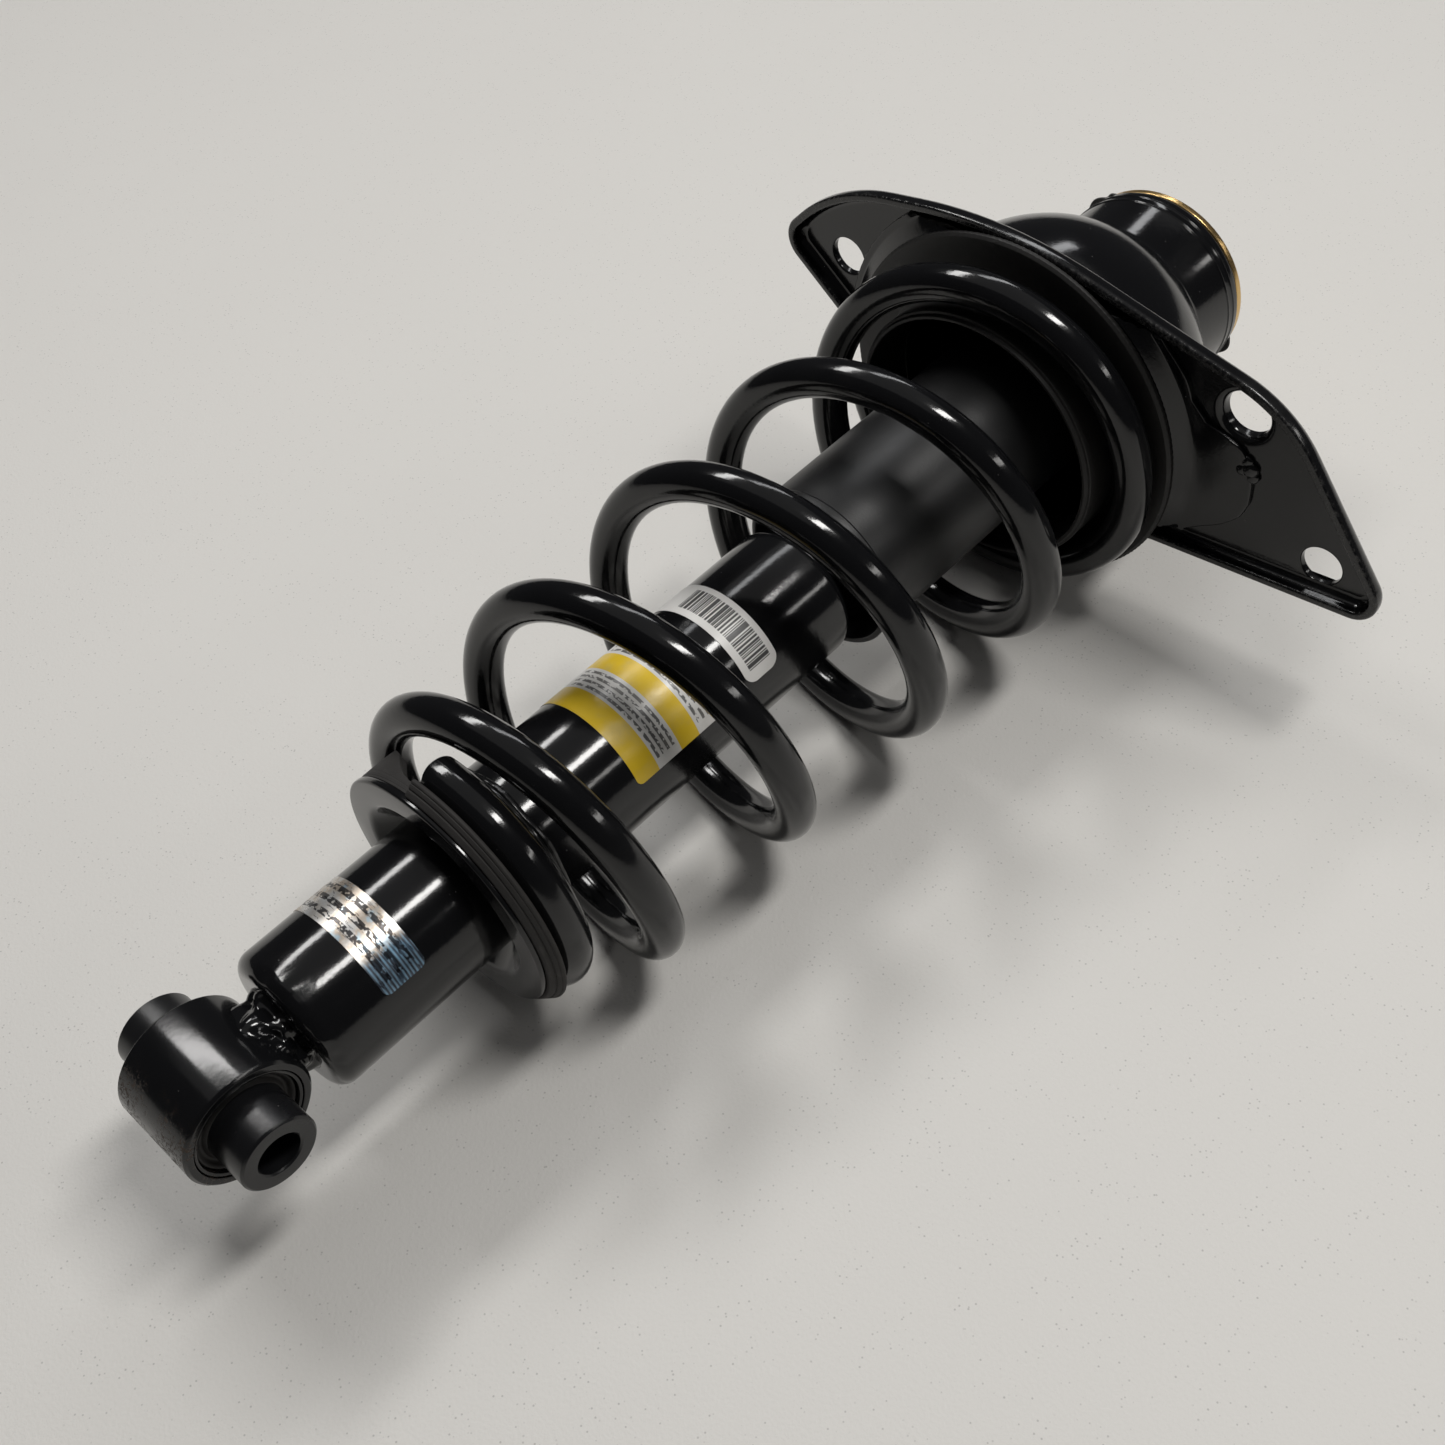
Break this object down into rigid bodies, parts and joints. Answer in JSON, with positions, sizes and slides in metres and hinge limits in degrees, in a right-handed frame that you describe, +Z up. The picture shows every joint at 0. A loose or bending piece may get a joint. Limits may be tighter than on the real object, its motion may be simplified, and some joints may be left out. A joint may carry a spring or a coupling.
{
  "type": "suspension strut assembly",
  "caption": "Suspension strut: a damper with a bushed lower eye, a coil spring between rubber-lined seats, a dust shield and a lipped upper plate with bolt holes.",
  "frame": {"origin": "centre of the lower bush bore", "axes": "+Z up the strut from the bush to the upper mount, +Y along the lower bush bore"},
  "size_m": [0.1324, 0.2383, 0.4592],
  "materials": {
    "gloss_black_paint": "gloss black baked paint on steel",
    "eye_paint": "gloss black paint on rough steel tube, scuffed, with a little rust",
    "weld_paint": "black paint over weld beads",
    "spring_paint": "smooth gloss black powder coat",
    "sleeve_steel": "black coated steel sleeve, machined ends",
    "bush_rubber": "matte black rubber",
    "lower_isolator_rubber": "matte brown-black rubber",
    "upper_isolator_rubber": "matte brown-black rubber",
    "mount_rubber": "black rubber with flash at its edge",
    "shield_plastic": "satin black moulded plastic",
    "bump_foam": "cream cellular polyurethane",
    "rod_chrome": "ground and chrome plated rod",
    "inner_steel": "plain drawn or turned steel",
    "guide_metal": "sintered metal, turned",
    "gold_plate": "yellow passivated zinc plate",
    "foil": "plain brushed foil strip with a blue tint at one end",
    "banded_film": "white label film with two yellow bands and thin rules, no words",
    "bar_film": null
  },
  "bodies": {
    "upper_mount": {"mount_plate": "gloss_black_paint", "upper_spring_seat": "gloss_black_paint", "upper_isolator": "upper_isolator_rubber", "mount_dome": "gloss_black_paint", "mount_shell": "inner_steel", "mount_rubber": "mount_rubber", "mount_sleeve": "inner_steel", "plated_washer": "gold_plate", "rod_nut": "gold_plate", "rod_washer": "inner_steel", "piston_rod": "rod_chrome", "piston": "guide_metal", "piston_nut": "inner_steel", "rebound_stop": "inner_steel", "bump_stop": "bump_foam", "dust_shield": "shield_plastic", "coil_spring": "spring_paint"},
    "damper_tube": {"reserve_tube": "gloss_black_paint", "base_plug": "gloss_black_paint", "eye_ring": "eye_paint", "eye_weld": "weld_paint", "bush_shell": "inner_steel", "bush_rubber": "bush_rubber", "lower_spring_seat": "gloss_black_paint", "seat_weld": "weld_paint", "lower_isolator": "lower_isolator_rubber", "pressure_tube": "inner_steel", "foot_valve": "guide_metal", "rod_guide": "guide_metal", "rod_seal": "bush_rubber", "foil_label": "foil", "banded_label": "banded_film", "bar_label": "bar_film"},
    "bush_sleeve": {"bush_sleeve": "sleeve_steel"}
  },
  "joints": [
    {"name": "strut_stroke", "type": "slide", "parent": "upper_mount", "child": "damper_tube", "axis": [0, 0, 1], "range_m": [0, 0.1], "stiffness_N_per_m": 28000, "springref_m": -0.04, "deforming": ["coil_spring"]},
    {"name": "bush_twist", "type": "hinge", "parent": "damper_tube", "child": "bush_sleeve", "pos_m": [0, 0, 0], "axis": [0, 1, 0], "range_deg": [-12, 12], "stiffness_Nm_per_rad": 20}
  ]
}
